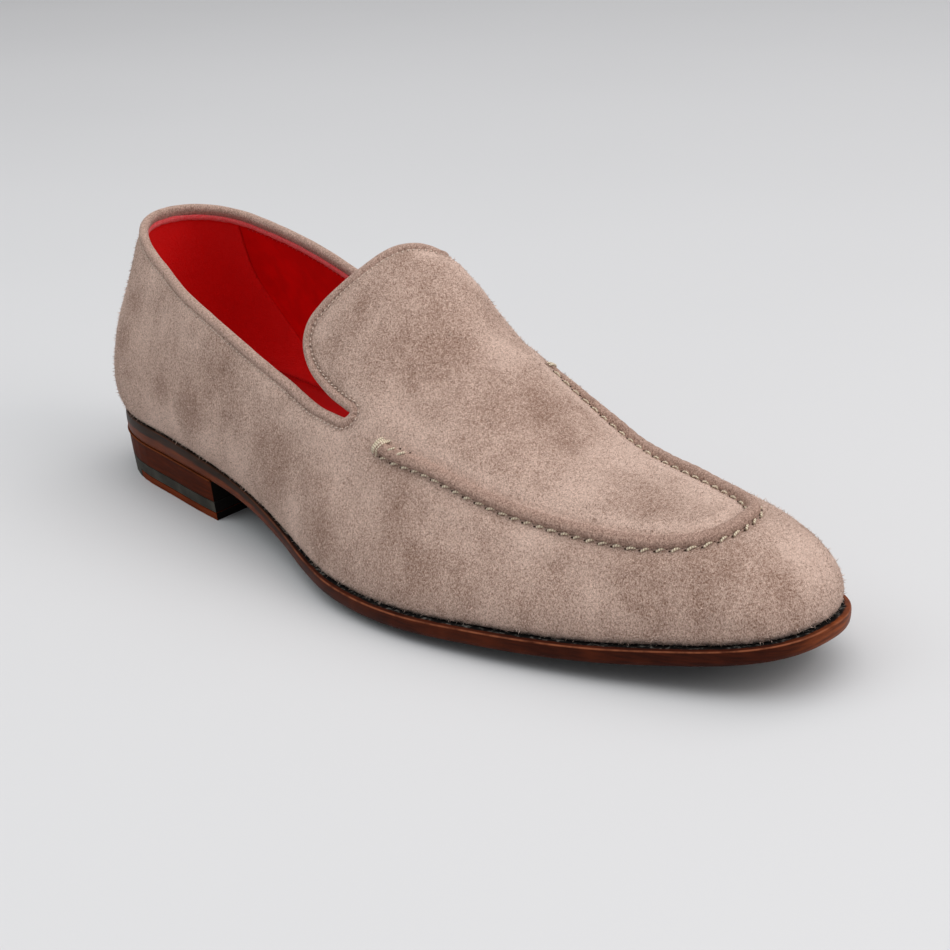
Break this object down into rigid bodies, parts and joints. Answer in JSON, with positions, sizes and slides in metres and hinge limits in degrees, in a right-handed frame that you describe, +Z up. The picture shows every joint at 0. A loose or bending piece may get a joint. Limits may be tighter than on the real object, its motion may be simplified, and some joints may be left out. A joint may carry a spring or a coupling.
{
  "type": "suede loafer",
  "caption": "Right slip-on loafer: hollow suede upper with raised apron ridge, integral tongue and bound collar on a leather sole with a low stacked heel and rubber top piece.",
  "frame": {"origin": "on the floor below the middle of the shoe's bounding box", "axes": "+X towards the toe, +Y towards the medial side, +Z up"},
  "size_m": [0.3036, 0.1004, 0.0996],
  "materials": {
    "upper": "taupe suede",
    "collar_binding": "taupe suede",
    "insole": "smooth red leather",
    "outsole": "polished reddish brown edge",
    "heel_stack": "polished stacked leather",
    "heel_top_piece": "dark grey rubber",
    "heel_insert": "orange brown leather"
  },
  "bodies": {
    "root": {"upper": "upper", "collar_binding": "collar_binding", "insole": "insole", "outsole": "outsole", "heel_stack": "heel_stack", "heel_top_piece": "heel_top_piece", "heel_insert": "heel_insert"}
  },
  "joints": []
}
